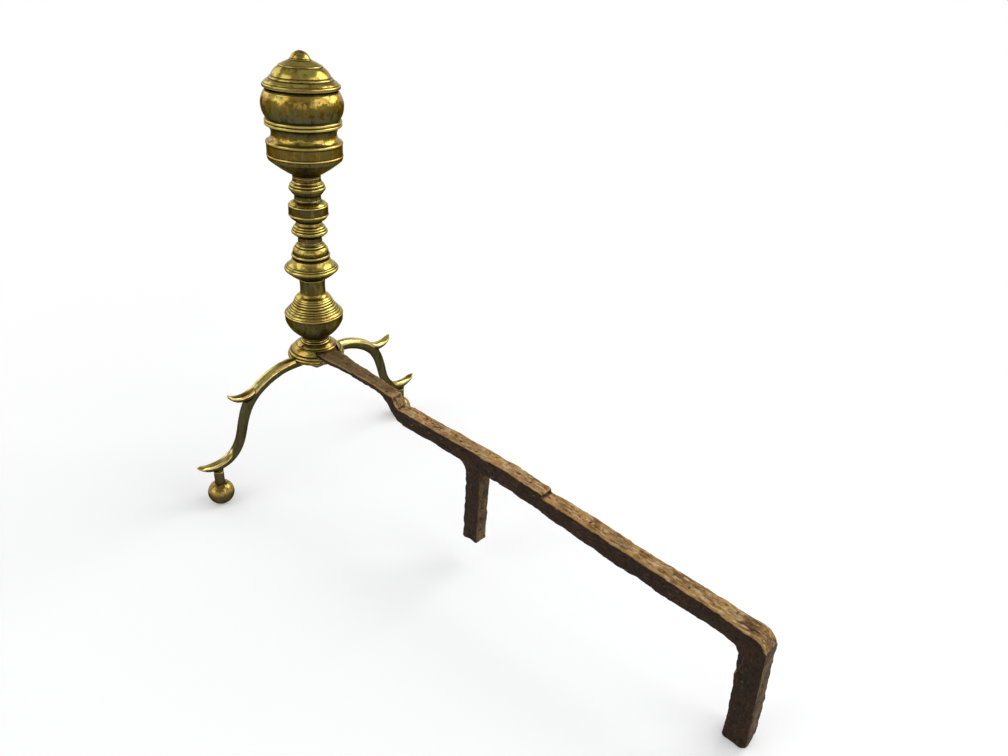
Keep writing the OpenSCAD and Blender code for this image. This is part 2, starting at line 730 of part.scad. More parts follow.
// Middle leg, welded under the bar with a fillet on its front and a soft blunt foot
module mid_leg() {
    fillet = 17;
    back = mid_leg_y + mid_leg_t;
    side = concat(
        [[back + 1.5, bar_under], [back, bar_under - 5], [back + 1, mid_leg_clear + 4]],
        bow([back, mid_leg_clear + 2.6], [mid_leg_y + 2, mid_leg_clear + 1.4], 1.6, 6),
        [[mid_leg_y, mid_leg_clear + 5], [mid_leg_y - 1, bar_under - fillet]],
        bow([mid_leg_y - 1.4, bar_under - fillet], [mid_leg_y - fillet, bar_under], 4.6, 8)
    );
    color(IRON) side_plate(side, 0.97 * bar_w);
}

finial_cap();
finial_ball();
finial_cup();
upper_collar();
knop_drum();
lower_collar();
bell_flare();
vase_bowl();
plinth();
tie_rod();
rod_washer();
rod_nut();
leg_right();
leg_left();
foot_right();
foot_left();
foot_studs();
bar_front();
bar_rear();
mid_leg();
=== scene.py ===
"""Looks of an old turned brass andiron with a wrought iron billet bar.

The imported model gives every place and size. The brass turnings are spun again from the outlines
of their solids, finely enough for their arrises to catch the light. The legs and the iron are
skinned again over their solids, with the soft edges of a casting and the hammer marks of a
forging.
"""

import logging
import math
from dataclasses import dataclass, field
from enum import Enum
from typing import Any, Iterable, NamedTuple

import bpy
import numpy as np
from bpy.types import Material, Mesh, Node, NodeTree, Object
from bpy.types import NodeSocket as Socket
from mathutils import Matrix, Vector, noise
from mathutils.bvhtree import BVHTree

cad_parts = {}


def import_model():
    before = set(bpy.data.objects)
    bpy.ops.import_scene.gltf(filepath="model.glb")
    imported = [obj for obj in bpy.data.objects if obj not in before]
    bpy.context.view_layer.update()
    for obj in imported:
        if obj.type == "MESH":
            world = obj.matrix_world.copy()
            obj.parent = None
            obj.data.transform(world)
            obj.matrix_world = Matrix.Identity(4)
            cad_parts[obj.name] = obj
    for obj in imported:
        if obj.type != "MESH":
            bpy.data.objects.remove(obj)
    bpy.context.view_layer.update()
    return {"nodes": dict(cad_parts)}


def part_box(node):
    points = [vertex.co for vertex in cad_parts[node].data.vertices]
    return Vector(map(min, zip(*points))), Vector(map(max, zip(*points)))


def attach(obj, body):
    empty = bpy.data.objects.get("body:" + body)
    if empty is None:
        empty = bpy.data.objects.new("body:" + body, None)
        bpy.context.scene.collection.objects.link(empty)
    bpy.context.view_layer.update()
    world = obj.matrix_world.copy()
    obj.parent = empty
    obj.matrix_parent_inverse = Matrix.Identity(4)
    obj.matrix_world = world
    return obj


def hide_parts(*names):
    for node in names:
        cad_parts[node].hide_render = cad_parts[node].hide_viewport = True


LOG = logging.getLogger("andiron")
Triple = tuple[float, float, float]
MM = 0.001
BODY = "root"
RELIEF = "relief"
WHITE = "#FFFFFF"
WELD_GAP = 0.005 * MM
NEAR_ZERO = 1e-12


class Slot(Enum):
    """The record's material slots of the pieces that are made anew."""

    POST_BRASS = "brass"
    LEG_BRASS = "leg_brass"
    FOOT_BRASS = "foot_brass"
    WROUGHT_IRON = "wrought_iron"


# ------------------------ small tools


def linear(hex_colour: str) -> tuple[float, float, float, float]:
    """Turns an sRGB hex colour into linear RGBA.

    Args:
        hex_colour: The colour, such as "#C8A04B".

    Returns:
        Linear red, green, blue and an alpha of 1.
    """
    digits = hex_colour.lstrip("#")
    channels = [int(digits[i : i + 2], 16) / 255 for i in (0, 2, 4)]
    red, green, blue = (c / 12.92 if c <= 0.04045 else ((c + 0.055) / 1.055) ** 2.4 for c in channels)
    return (red, green, blue, 1.0)


def add_node(
    tree: NodeTree, kind: str, inputs: dict[str | int, Any] | None = None, **settings: Any
) -> Node:
    """Adds a shader node with its settings, and sets or links its inputs.

    Args:
        tree: The node tree to add to.
        kind: The node's type, without the ShaderNode in front of it.
        inputs: Values, or output sockets to link from, by input name or number.
        **settings: The node's own properties.

    Returns:
        The new node.
    """
    made = tree.nodes.new("ShaderNode" + kind)
    for key, value in settings.items():
        setattr(made, key, value)
    for key, value in (inputs or {}).items():
        if isinstance(value, Socket):
            tree.links.new(value, made.inputs[key])
        else:
            made.inputs[key].default_value = value
    return made


def smooth_rows(rows: np.ndarray, sigma: float) -> np.ndarray:
    """Blurs the rows of an array along its length, with its ends held.

    Args:
        rows: Array of shape (count, columns).
        sigma: Blur, in rows.

    Returns:
        The blurred array, of the same shape.
    """
    reach = max(1, int(3 * sigma))
    offsets = np.arange(-reach, reach + 1)
    weights = np.exp(-0.5 * (offsets / sigma) ** 2)
    weights /= weights.sum()
    padded = np.pad(rows, ((reach, reach), (0, 0)), mode="edge")
    blurred = [np.convolve(column, weights, mode="valid") for column in padded.T]
    return np.stack(blurred, axis=1)


def thin_out(points: np.ndarray, tolerance: float) -> np.ndarray:
    """Drops the points of an outline that lie on the line between their neighbours.

    Args:
        points: Array of shape (count, 2).
        tolerance: How far a dropped point may lie from that line.

    Returns:
        The numbers of the points that are kept, in order.
    """
    kept = {0, len(points) - 1}
    spans = [(0, len(points) - 1)]
    while spans:
        first, last = spans.pop()
        if last - first < 2:
            continue
        along = points[last] - points[first]
        length = max(float(np.hypot(*along)), NEAR_ZERO)
        away = points[first + 1 : last] - points[first]
        distance = np.abs(along[0] * away[:, 1] - along[1] * away[:, 0]) / length
        worst = int(distance.argmax())
        if distance[worst] > tolerance:
            middle = first + 1 + worst
            kept.add(middle)
            spans += [(first, middle), (middle, last)]
    return np.array(sorted(kept))


def face_tree(piece: Object) -> BVHTree:
    """A tree of a piece's faces, for casting rays at it."""
    mesh = piece.data
    return BVHTree.FromPolygons([v.co for v in mesh.vertices], [p.vertices for p in mesh.polygons])


def write_relief(mesh: Mesh, relief: np.ndarray) -> None:
    """Stores the relief of a mesh's points, where hollows are positive and arrises negative."""
    attribute = mesh.attributes.new(RELIEF, "FLOAT", "POINT")
    attribute.data.foreach_set("value", np.clip(relief, -1, 1).astype(np.float32))


def mark_relief(mesh: Mesh, passes: int, depth: float) -> None:
    """Writes how much further each point lies below or above its surroundings than most points do.

    Args:
        mesh: The mesh to mark.
        passes: How many times the points are averaged with their neighbours.
        depth: Depth, in metres, that counts as 1. Hollows are positive and arrises negative.
    """
    count = len(mesh.vertices)
    points = np.empty(count * 3, np.float32)
    mesh.vertices.foreach_get("co", points)
    points = points.reshape(-1, 3).astype(float)
    normals = np.empty(count * 3, np.float32)
    mesh.vertex_normals.foreach_get("vector", normals)
    edges = np.empty(len(mesh.edges) * 2, np.int32)
    mesh.edges.foreach_get("vertices", edges)
    a, b = edges.reshape(-1, 2).T
    neighbours = np.maximum(np.bincount(a, minlength=count) + np.bincount(b, minlength=count), 1)
    soft = points.copy()
    for _ in range(passes):
        sums = [np.bincount(a, soft[b, c], count) + np.bincount(b, soft[a, c], count) for c in range(3)]
        soft = 0.5 * soft + 0.5 * np.stack(sums, axis=1) / neighbours[:, None]
    relief = np.einsum("ij,ij->i", soft - points, normals.reshape(-1, 3)) / depth
    write_relief(mesh, relief - np.median(relief))


def dress(piece: Object, finish: Material, slot: Slot, *nodes: str) -> Object:
    """Gives a piece its finish and lets it stand for its CAD nodes.

    Args:
        piece: The piece.
        finish: Its material.
        slot: The record's material slot; not used.
        *nodes: The CAD nodes that the piece replaces.

    Returns:
        The piece.
    """
    piece.data.materials.clear()
    piece.data.materials.append(finish)
    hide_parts(*nodes)
    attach(piece, BODY)
    LOG.info("%s: %d faces, for %s", piece.name, len(piece.data.polygons), ", ".join(nodes))
    return piece


def new_mesh(name: str, points: Iterable[Any], faces: Iterable[tuple[int, ...]]) -> Mesh:
    """Makes a mesh.

    Args:
        name: The mesh's name.
        points: The places of its points.
        faces: The numbers of each face's points.

    Returns:
        The mesh.
    """
    mesh = bpy.data.meshes.new(name)
    mesh.from_pydata(points, [], faces)
    return mesh


def tube_faces(rings: int, sides: int) -> list[tuple[int, ...]]:
    """Makes the faces of a closed tube, whose points lie in rings from end to end.

    Args:
        rings: How many rings it has.
        sides: How many points a ring has.

    Returns:
        The faces between the rings, and then those of the two ends.
    """
    faces = []
    for base in range(0, (rings - 1) * sides, sides):
        for i in range(sides):
            j = (i + 1) % sides
            faces.append((base + i, base + j, base + sides + j, base + sides + i))
    ends = (reversed(range(sides)), range((rings - 1) * sides, rings * sides))
    return faces + [tuple(end) for end in ends]


def placed(name: str, data: Any) -> Object:
    """Puts an object in the scene.

    Args:
        name: The object's name.
        data: Its mesh, lamp or camera.

    Returns:
        The object.
    """
    made = bpy.data.objects.new(name, data)
    bpy.context.scene.collection.objects.link(made)
    return made


def new_piece(name: str, mesh: Mesh) -> Object:
    """Puts a mesh in the scene as a smooth-shaded object."""
    mesh.shade_smooth()
    return placed(name, mesh)


def applied(piece: Object, name: str) -> Mesh:
    """Takes a piece's mesh with its modifiers applied, and removes the piece.

    Args:
        piece: The piece, which is in the scene.
        name: The new mesh's name.

    Returns:
        The mesh.
    """
    bpy.context.view_layer.update()
    graph = bpy.context.evaluated_depsgraph_get()
    mesh = bpy.data.meshes.new_from_object(piece.evaluated_get(graph), depsgraph=graph)
    mesh.name = name
    for attribute in [a for a in mesh.attributes if a.name == "custom_normal"]:
        mesh.attributes.remove(attribute)
    bpy.data.objects.remove(piece)
    return mesh


def skinned(node: Object, name: str, voxel: float, soft_passes: int) -> Mesh:
    """Skins a solid again with a fine even mesh, and rounds its edges.

    Args:
        node: The object to skin, which is left as it is.
        name: The new mesh's name.
        voxel: Spacing of the new points.
        soft_passes: How many times the points are averaged with their neighbours.

    Returns:
        The new mesh.
    """
    copy = placed(name, node.data.copy())
    weld = copy.modifiers.new("weld", "WELD")
    weld.merge_threshold = WELD_GAP
    skin = copy.modifiers.new("skin", "REMESH")
    skin.mode = "VOXEL"
    skin.voxel_size = voxel
    soften = copy.modifiers.new("soften", "SMOOTH")
    soften.factor = 0.5
    soften.iterations = soft_passes
    return applied(copy, name)


# ------------------------ finishes

# Where nearly all of a noise's values lie.
NOISE_RANGE = (0.3, 0.7)
# The Mix node's share and its two inputs, by number because names repeat, and its output.
MIXED_NUMBERS, NUMBER_OUT = (0, 2, 3), 0
MIXED_COLOURS, COLOUR_OUT = (0, 6, 7), 2


class Ramp(NamedTuple):
    """A mask's rise: where it starts and ends on the value that drives it, and what it gives."""

    start: float
    end: float
    low: float = 0.0
    high: float = 1.0

    def up_to(self, high: float) -> "Ramp":
        """The same ramp, up to another highest value."""
        return self._replace(high=high)

    def shifted(self, by: float) -> "Ramp":
        """The same ramp, moved along the value that drives it."""
        return self._replace(start=self.start + by, end=self.end + by)


@dataclass(frozen=True)
class Masks:
    """The masks and noises that the finishes share, in one node tree."""

    tree: NodeTree

    def output(self, kind: str, name: str | int, inputs: Any = None, **settings: Any) -> Socket:
        """Adds a node and takes one of its outputs, by name or number."""
        return add_node(self.tree, kind, inputs, **settings).outputs[name]

    def place(self) -> Socket:
        """Position on the object, in metres."""
        return self.output("TexCoord", "Object")

    def facing(self, axis: str = "Z") -> Socket:
        """How far the surface faces along an axis, from -1 to 1."""
        normal = self.output("NewGeometry", "Normal")
        return self.output("SeparateXYZ", axis, {0: normal})

    def along(self, axis: str) -> Socket:
        """Position along an axis, in metres."""
        return self.output("SeparateXYZ", axis, {0: self.place()})

    def distance(self, point: Triple) -> Socket:
        """Distance from a point on the object, in metres."""
        ends = {0: self.place(), 1: point}
        return self.output("VectorMath", "Value", ends, operation="DISTANCE")

    def relief(self) -> Socket:
        """Depth below the surroundings: positive in grooves, negative on arrises."""
        return self.output("Attribute", "Fac", attribute_name=RELIEF)

    def noise(self, size_mm: float | Triple, detail: float = 4, rough: float = 0.55) -> Socket:
        """Noise with features of the given size, which may differ by axis.

        Args:
            size_mm: Size of the features in millimetres.
            detail: Octaves of finer noise.
            rough: Strength of the finer noise.

        Returns:
            The noise's value, from 0 to 1.
        """
        sizes = size_mm if isinstance(size_mm, tuple) else (size_mm,) * 3
        scales = tuple(1 / (size * MM) for size in sizes)
        scaled = self.math("MULTIPLY", self.place(), scales, vector=True)
        inputs = {"Vector": scaled, "Scale": 1, "Detail": detail, "Roughness": rough}
        return self.output("TexNoise", "Fac", inputs)

    def math(self, operation: str, first: Any, second: Any, vector: bool = False) -> Socket:
        """Combines two values or two vectors."""
        kind = "VectorMath" if vector else "Math"
        return self.output(kind, 0, {0: first, 1: second}, operation=operation)

    def ramp(self, value: Socket, ramp: Ramp) -> Socket:
        """Maps a value smoothly by a ramp, and holds it past the ramp's ends."""
        inputs = dict(zip(("From Min", "From Max", "To Min", "To Max"), ramp), Value=value)
        return self.output("MapRange", 0, inputs, interpolation_type="SMOOTHSTEP")

    def ragged(self, value: Socket, by: Socket, amount: float) -> Socket:
        """Adds a noise to a value, as up to the given amount more or less."""
        return self.math("ADD", value, self.ramp(by, Ramp(*NOISE_RANGE, -amount, amount)))

    def mix(self, share: Socket, first: Socket | str, second: Socket | str) -> Socket:
        """Mixes two colours by the second's share.

        Args:
            share: The second colour's share, from 0 to 1.
            first: A hex colour, or another node's output.
            second: The same.

        Returns:
            The mixed colour.
        """
        start, end = (linear(c) if isinstance(c, str) else c for c in (first, second))
        inputs = dict(zip(MIXED_COLOURS, (share, start, end)))
        return self.output("Mix", COLOUR_OUT, inputs, data_type="RGBA")

    def between(self, share: Socket, first: Any, second: Any) -> Socket:
        """Mixes two numbers by the second's share."""
        inputs = dict(zip(MIXED_NUMBERS, (share, first, second)))
        return self.output("Mix", NUMBER_OUT, inputs, data_type="FLOAT")

    def layered(self, base: Socket | str, *layers: tuple[Socket, Ramp, str]) -> Socket:
        """Lays colours over a base, one after the other.

        Args:
            base: The colour underneath.
            *layers: For each colour the value that masks it, the mask's ramp and the colour.

        Returns:
            The colour that comes out on top.
        """
        colour = base
        for value, ramp, laid in layers:
            colour = self.mix(self.ramp(value, ramp), colour, laid)
        return colour

    def bump(self, height: Socket, depth_mm: float, under: Socket | None = None) -> Socket:
        """Raises the surface by a height times a depth.

        Args:
            height: The height, from 0 to 1.
            depth_mm: The depth in millimetres.
            under: The bump that this one lies over, if any.

        Returns:
            The bumped normal.
        """
        inputs = {"Strength": 1, "Distance": depth_mm * MM, "Height": height}
        if under is not None:
            inputs["Normal"] = under
        return self.output("Bump", "Normal", inputs)

    def shade(self, **inputs: Any) -> None:
        """Ends the tree with one Principled shader.

        Args:
            **inputs: Its inputs by name, with underscores for spaces.
        """
        named = {key.replace("_", " "): value for key, value in inputs.items()}
        surface = self.output("BsdfPrincipled", "BSDF", named)
        add_node(self.tree, "OutputMaterial", {"Surface": surface})


def blank_material(name: str) -> tuple[Material, Masks]:
    """Makes a material with an empty node tree.

    Args:
        name: The material's name.

    Returns:
        The material, and the masks that build its tree.
    """
    material = bpy.data.materials.new(name)
    material.use_nodes = True
    material.node_tree.nodes.clear()
    return material, Masks(material.node_tree)


@dataclass(frozen=True)
class ToolMarks:
    """The marks that are left on worked brass, with sizes by axis and depths in millimetres."""

    wave_mm: Triple
    line_mm: Triple
    cast_depth_mm: float
    wave_depth_mm: float = 0.1
    line_depth_mm: float = 0.015


class Tool(Enum):
    """What the brass was worked with, by the marks that it leaves."""

    LATHE = ToolMarks((70.0, 70.0, 2.0), (90.0, 90.0, 0.45), 0.12)
    FILE = ToolMarks((30.0, 9.0, 12.0), (12.0, 1.4, 4.0), 0.05)


@dataclass(frozen=True)
class BrassWearAndShade:
    """Where each mark on the brass starts and ends, and how strong it gets: rubbed places, dirt, and
    painted shade, reflection and highlights.

    A surface faces from -1, down, to 1, up. Relief runs from -1 on an arris to 1 in a groove, and
    a noise from 0 to 1. Distances are in metres.
    """

    # Painted shade: undersides take the olive colours.
    underside: Ramp = Ramp(-0.02, -0.34)
    # Grooves darkened: dirt that they hold, with painted shade.
    recess: Ramp = Ramp(0.06, 0.42, 0.0, 0.95)
    # Arrises paler: rubbed bright by use, with a painted highlight.
    arris: Ramp = Ramp(-0.25, -0.8, 0.0, 0.75)
    brown: Ramp = Ramp(0.5, 0.64)
    light_drips: Ramp = Ramp(0.5, 0.72, 0.0, 0.8)
    dark_drips: Ramp = Ramp(0.5, 0.36, 0.0, 0.8)
    # Painted reflection: an amber tone on steeper faces, broken up by the clouds.
    steep: Ramp = Ramp(0.8, 0.4)
    steep_clouds: Ramp = Ramp(0.36, 0.56)
    clouds: Ramp = Ramp(0.47, 0.62)
    # Painted highlight streaks: bands at given facings, broken by the drip noise.
    streak_start: Ramp = Ramp(-0.1, -0.03)
    streak_end: Ramp = Ramp(0.11, 0.04)
    streak_breaks: Ramp = Ramp(0.3, 0.5, 0.25, 0.75)
    specks: Ramp = Ramp(0.62, 0.74, 0.0, 0.4)
    flaw: Ramp = Ramp(2.4 * MM, 1.2 * MM)
    # Painted shade: how far the shaded band of heights is turned down.
    band_shading: float = 0.45
    roughness: Ramp = Ramp(0.0, 1.0, 0.18, 0.38)
    arris_gloss: Ramp = Ramp(0.0, 1.0, 0.0, 0.12)
    lacquer: Ramp = Ramp(0.1, 0.5, 0.0, 0.6)
    lacquer_roughness: float = 0.12


@dataclass(frozen=True)
class CastBrass:
    """Cast brass that was turned or filed, polished, and has aged.

    The eye sees yellow metal with streaky reflections and painted highlight streaks on the upper
    surfaces, amber and brown mottling, and pale arrises, partly rubbed bright and partly a painted
    highlight. The walls and undersides are painted darker brown and olive as shade and dark
    reflection, and the grooves hold dirt with painted shade over it.
    """

    name: str
    polished: str = "#D1BE54"
    amber: str = "#A5761C"
    brown: str = "#42290A"
    # Painted shade and dark reflection: the walls' brown and the undersides' olive. wall_light and
    # olive_dark are drip stains over them.
    shaded_wall: str = "#4A4122"
    wall_light: str = "#75652E"
    olive: str = "#535035"
    olive_dark: str = "#322F1B"
    # Paler arrises: rubbed bright by use, with a painted highlight.
    arris: str = "#CDB866"
    # Dark dirt in specks, pits and grooves, with painted shade in the grooves.
    grime_and_shade: str = "#181307"
    rim: str = "#A89C70"
    # Colour of the painted highlight streaks.
    highlight_streak: str = "#EFE6B4"
    cloud_mm: float = 22.0
    drip_mm: Triple = (5.0, 5.0, 26.0)
    speck_mm: float = 1.6
    mottle_mm: Triple = (6.0, 6.0, 10.0)
    mottle: float = 0.6
    warmth: float = 0.65
    ragged: float = 0.14
    rubbed: Ramp = Ramp(0.08, 0.42)
    # Facings of the painted highlight streaks.
    streaks: tuple[float, ...] = ()
    # Heights of a band painted in shade, such as the legs' shins.
    shaded_band: tuple[Ramp, ...] = ()
    tool: Tool = Tool.LATHE
    flaws: tuple[Triple, ...] = ()
    wear_and_shade: BrassWearAndShade = BrassWearAndShade()

    def build(self) -> Material:
        """Makes the material.

        Returns:
            The brass, as one Principled shader over masks for rubbed places, mottling, tarnish, dirt
            and painted shade and highlights.
        """
        material, m = blank_material(self.name)
        wear_and_shade = self.wear_and_shade
        relief = m.relief()
        blotches = m.noise(self.mottle_mm, detail=6, rough=0.62)
        drips = m.noise(self.drip_mm)
        specks = m.noise(self.speck_mm, detail=3)
        # Which way the surface faces, from -1 on an underside to 1 on a top, roughened by the blotches;
        # it sets the painted shade of walls and undersides and places the painted highlight streaks.
        skin = m.ragged(m.facing(), blotches, self.ragged)
        # Painted shade: a band of heights is turned further down, so it takes the darker colours of
        # walls and undersides.
        if self.shaded_band:
            height = m.along("Z")
            inside = m.math("MULTIPLY", *(m.ramp(height, edge) for edge in self.shaded_band))
            skin = m.math("SUBTRACT", skin, m.math("MULTIPLY", inside, wear_and_shade.band_shading))
        top = m.ramp(skin, self.rubbed)
        brown = m.ramp(blotches, wear_and_shade.brown.up_to(self.mottle))
        recess, arris = m.ramp(relief, wear_and_shade.recess), m.ramp(relief, wear_and_shade.arris)

        # Painted shade and dark reflection: walls take the darker brown and undersides the olive, by
        # which way they face, under real drip stains and brown mottling; tops keep the metal's own
        # colour.
        shaded_wall = m.layered(self.shaded_wall, (drips, wear_and_shade.light_drips, self.wall_light))
        shaded_wall = m.mix(brown, shaded_wall, self.brown)
        below = m.layered(self.olive, (drips, wear_and_shade.dark_drips, self.olive_dark))
        colour = m.mix(m.ramp(skin, wear_and_shade.underside), shaded_wall, below)
        colour = m.mix(top, colour, self._metal(m, skin, drips, brown))
        colour = m.layered(colour, (specks, wear_and_shade.specks, self.grime_and_shade))
        # Grooves darkened by dirt and painted shade.
        colour = m.mix(recess, colour, self.grime_and_shade)
        # Arrises paler: rubbed bright by use, with a painted highlight.
        colour = m.mix(arris, colour, self.arris)
        colour = m.layered(colour, *((m.distance(flaw), wear_and_shade.flaw, self.grime_and_shade) for flaw in self.flaws))

        dull = m.math("MAXIMUM", m.math("SUBTRACT", 1.0, top), m.math("MAXIMUM", recess, brown))
        roughness = m.math("SUBTRACT", m.ramp(dull, wear_and_shade.roughness), m.ramp(arris, wear_and_shade.arris_gloss))
        normal = self._normal(m, blotches)
        m.shade(
            Base_Color=colour,
            Metallic=1.0,
            Roughness=roughness,
            Normal=normal,
            Specular_Tint=linear(self.rim),
            Coat_Weight=m.ramp(skin, wear_and_shade.lacquer),
            Coat_Roughness=wear_and_shade.lacquer_roughness,
            Coat_Normal=normal,
        )
        return material

    def _metal(self, m: Masks, skin: Socket, drips: Socket, brown: Socket) -> Socket:
        """The colour of the metal on the tops: amber clouds, an amber tone painted on steeper faces as
        a darker reflection, brown mottling, and painted highlight streaks.

        Args:
            m: The masks of the tree.
            skin: Which way the surface faces, roughened; it places the painted amber tone and the
                streaks.
            drips: Noise that breaks up the streaks.
            brown: Mask of the brown mottling.

        Returns:
            The colour.
        """
        wear_and_shade = self.wear_and_shade
        clouds = m.noise(self.cloud_mm)
        # Painted reflection: amber on steeper faces, broken up by the cloud noise; the clouds are the
        # brass's own amber patina.
        steep = m.ramp(skin, wear_and_shade.steep.up_to(self.warmth))
        steep = m.math("MULTIPLY", steep, m.ramp(clouds, wear_and_shade.steep_clouds))
        amber = m.math("MAXIMUM", steep, m.ramp(clouds, wear_and_shade.clouds.up_to(self.warmth)))
        metal = m.mix(brown, m.mix(amber, self.polished, self.amber), self.brown)
        # Painted highlight streaks: pale bands at given facings, standing in for reflections of lamps.
        for tilt in self.streaks:
            edges = (wear_and_shade.streak_start.shifted(tilt), wear_and_shade.streak_end.shifted(tilt))
            band = m.math("MULTIPLY", *(m.ramp(skin, edge) for edge in edges))
            share = m.math("MULTIPLY", band, m.ramp(drips, wear_and_shade.streak_breaks))
            metal = m.mix(share, metal, self.highlight_streak)
        return metal

    def _normal(self, m: Masks, blotches: Socket) -> Socket:
        """Makes the bumps of the tool's marks and of the casting.

        Args:
            m: The masks of the tree.
            blotches: The casting's noise.

        Returns:
            The bumped normal.
        """
        marks = self.tool.value
        normal = m.bump(m.noise(marks.wave_mm, detail=1), marks.wave_depth_mm)
        normal = m.bump(m.noise(marks.line_mm, detail=1), marks.line_depth_mm, normal)
        return m.bump(blotches, marks.cast_depth_mm, normal)


@dataclass(frozen=True)
class IronWearAndShade:
    """Where each mark on the iron starts and ends, rubbed places, scale, and painted light and shade,
    in the same measures as the brass's.
    """

    # Lighter tops and dark sides by which way the surface faces: partly rubbed iron and scale, partly
    # painted light and shade.
    top: Ramp = Ramp(0.3, 0.85)
    edge: Ramp = Ramp(-0.1, -0.6, 0.0, 0.6)
    edge_up: Ramp = Ramp(0.15, 0.55)
    # Hollows of the relief are darkened near black, as are the pits.
    hollow: Ramp = Ramp(0.1, 0.5, 0.0, 0.85)
    pits: Ramp = Ramp(0.7, 0.78, 0.0, 0.7)
    rubbed: Ramp = Ramp(0.36, 0.6)
    orange: Ramp = Ramp(0.46, 0.34, 0.0, 0.6)
    brown: Ramp = Ramp(0.52, 0.68, 0.0, 0.5)
    # Pale grain: the iron's own grain, partly painted as glints.
    pale: Ramp = Ramp(0.48, 0.66, 0.0, 0.85)
    sooty: Ramp = Ramp(-0.12, -0.18, 0.0, 0.75)
    scale: Ramp = Ramp(0.44, 0.32, 0.0, 0.6)
    top_grit: Ramp = Ramp(0.52, 0.66, 0.0, 0.5)
    flank: Ramp = Ramp(0.42, 0.66, 0.0, 0.75)
    flank_light: Ramp = Ramp(0.55, 0.68, 0.0, 0.6)
    # Painted light: faces turned towards +Y get a lighter brown in patches.
    rear: Ramp = Ramp(0.3, 0.8)
    rear_patches: Ramp = Ramp(0.4, 0.62, 0.72, 0.12)
    flank_grit: Ramp = Ramp(0.5, 0.68, 0.0, 0.6)
    roughness: Ramp = Ramp(0.3, 0.7, 0.6, 0.9)
    crater_depth: Ramp = Ramp(0.64, 0.78, 1.0, 0.0)
    legs_below: Ramp = Ramp(0.125, 0.105)


